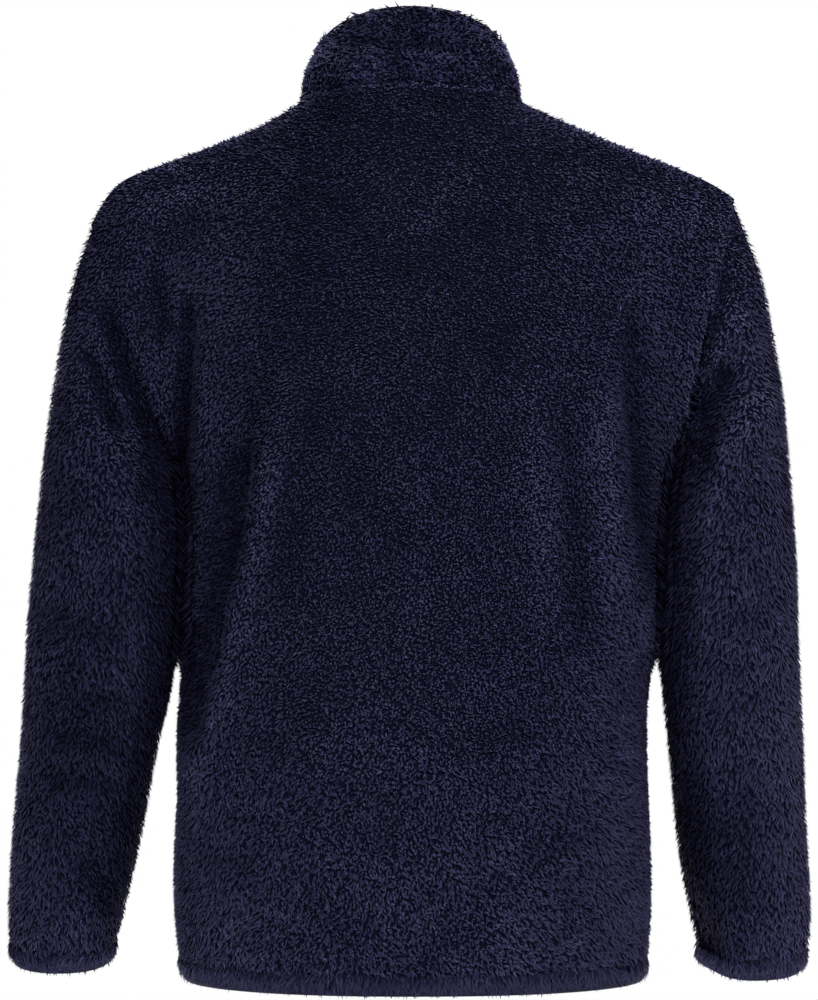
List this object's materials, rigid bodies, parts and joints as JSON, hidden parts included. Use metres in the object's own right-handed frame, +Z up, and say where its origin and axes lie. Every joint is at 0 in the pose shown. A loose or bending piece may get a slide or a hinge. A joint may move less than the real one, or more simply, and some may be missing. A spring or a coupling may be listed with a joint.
{
  "type": "fleece jacket",
  "caption": "Long-sleeved pile fleece jacket with a stand collar and a closed full-length front zip, standing open inside as when worn; cloth cannot drape.",
  "frame": {"origin": "middle of the neck opening, level with the points where the shoulder seams meet the collar", "axes": "+Z up from the hem to the collar; the zipped front faces -Y and the back +Y; +X is the wearer's left"},
  "size_m": [0.6542, 0.265, 0.7807],
  "materials": {
    "fleece": "long navy pile",
    "edge_tape": "smooth elastic tape",
    "zip_tape": "woven tape",
    "zip_teeth": "moulded",
    "zip_metal": "satin lacquer"
  },
  "bodies": {
    "jacket": {"back_panel": "fleece", "front_panel_left": "fleece", "front_panel_right": "fleece", "sleeve_left": "fleece", "sleeve_right": "fleece", "collar": "fleece", "hem_binding": "edge_tape", "cuff_binding_left": "edge_tape", "cuff_binding_right": "edge_tape", "zip_tape_left": "zip_tape", "zip_tape_right": "zip_tape", "zip_chain": "zip_teeth", "zip_slider": "zip_metal", "zip_stop_left": "zip_metal", "zip_stop_right": "zip_metal", "zip_box": "zip_metal"},
    "pull_tab": {"zip_pull": "zip_metal"}
  },
  "joints": [
    {"name": "pull_tab_swing", "type": "hinge", "parent": "jacket", "child": "pull_tab", "pos_m": [0, -0.09339, -0.03666], "axis": [-1, 0, 0], "range_deg": [0, 165]}
  ]
}
